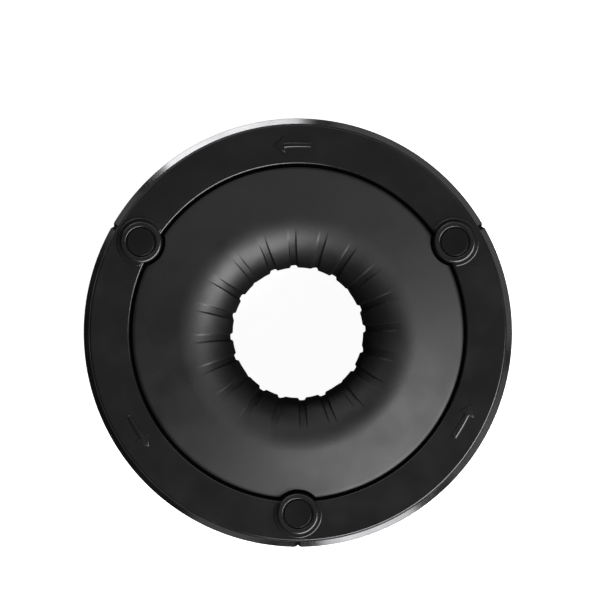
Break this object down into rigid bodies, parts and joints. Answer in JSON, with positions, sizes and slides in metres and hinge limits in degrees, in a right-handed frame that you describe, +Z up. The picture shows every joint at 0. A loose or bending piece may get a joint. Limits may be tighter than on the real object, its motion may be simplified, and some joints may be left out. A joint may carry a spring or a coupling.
{
  "type": "garbage disposal feed collar",
  "caption": "Round sink flange with black trim ring, three bumper pads and a fluted rubber splash guard, on a screw-clamped under-sink mount with a turning lock ring.",
  "frame": {"origin": "on the collar's axis at the bottom of the rubber cushion", "axes": "+Z up along the axis towards the open throat, +X to the right and +Y to the back as seen from above, with pads at 30, 150 and 270 degrees from +X"},
  "size_m": [0.1142, 0.1142, 0.0794],
  "materials": {
    "flange_metal": "gloss",
    "gasket_rubber": "matt",
    "trim_plastic": "satin",
    "pad_rubber": "matt",
    "cap_plastic": "matt",
    "guard_rubber": "satin grain",
    "fibre": "matt fibre sheet",
    "zinc_steel": "zinc plated",
    "cushion_rubber": "matt"
  },
  "bodies": {
    "flange_assembly": {"sink_flange": "flange_metal", "trim_gasket": "gasket_rubber", "trim_ring": "trim_plastic", "trim_screw_1": "zinc_steel", "trim_screw_2": "zinc_steel", "trim_screw_3": "zinc_steel", "pad_1": "pad_rubber", "pad_2": "pad_rubber", "pad_3": "pad_rubber", "cap_1": "cap_plastic", "cap_2": "cap_plastic", "cap_3": "cap_plastic", "rim_gasket": "gasket_rubber", "mounting_ring": "zinc_steel", "snap_ring": "zinc_steel", "cushion_mount": "cushion_rubber"},
    "clamp": {"backup_ring": "zinc_steel", "fibre_gasket": "fibre"},
    "screw_1": {"mount_screw_1": "zinc_steel"},
    "screw_2": {"mount_screw_2": "zinc_steel"},
    "screw_3": {"mount_screw_3": "zinc_steel"},
    "guard": {"splash_guard": "guard_rubber"},
    "lock_ring": {"lower_ring": "zinc_steel"}
  },
  "joints": [
    {"name": "clamp_slide", "type": "slide", "parent": "flange_assembly", "child": "clamp", "axis": [0, 0, 1], "range_m": [0, 0.008]},
    {"name": "lower_ring_turn", "type": "hinge", "parent": "flange_assembly", "child": "lock_ring", "pos_m": [0, 0, 0.012], "axis": [0, 0, 1], "range_deg": [-32, 0]},
    {"name": "splash_guard_lift", "type": "slide", "parent": "flange_assembly", "child": "guard", "axis": [0, 0, 1], "range_m": [0, 0.035]},
    {"name": "mount_screw_1_turn", "type": "hinge", "parent": "clamp", "child": "screw_1", "pos_m": [0, 0.048, 0.045], "axis": [0, 0, 1], "range_deg": [0, 2268]},
    {"name": "mount_screw_2_turn", "type": "hinge", "parent": "clamp", "child": "screw_2", "pos_m": [-0.04157, -0.024, 0.045], "axis": [0, 0, 1], "range_deg": [0, 2268]},
    {"name": "mount_screw_3_turn", "type": "hinge", "parent": "clamp", "child": "screw_3", "pos_m": [0.04157, -0.024, 0.045], "axis": [0, 0, 1], "range_deg": [0, 2268]}
  ],
  "couplings": [
    {"joint": "mount_screw_1_turn", "follows": "clamp_slide", "rad_per_m": 4947.4},
    {"joint": "mount_screw_2_turn", "follows": "clamp_slide", "rad_per_m": 4947.4},
    {"joint": "mount_screw_3_turn", "follows": "clamp_slide", "rad_per_m": 4947.4}
  ]
}
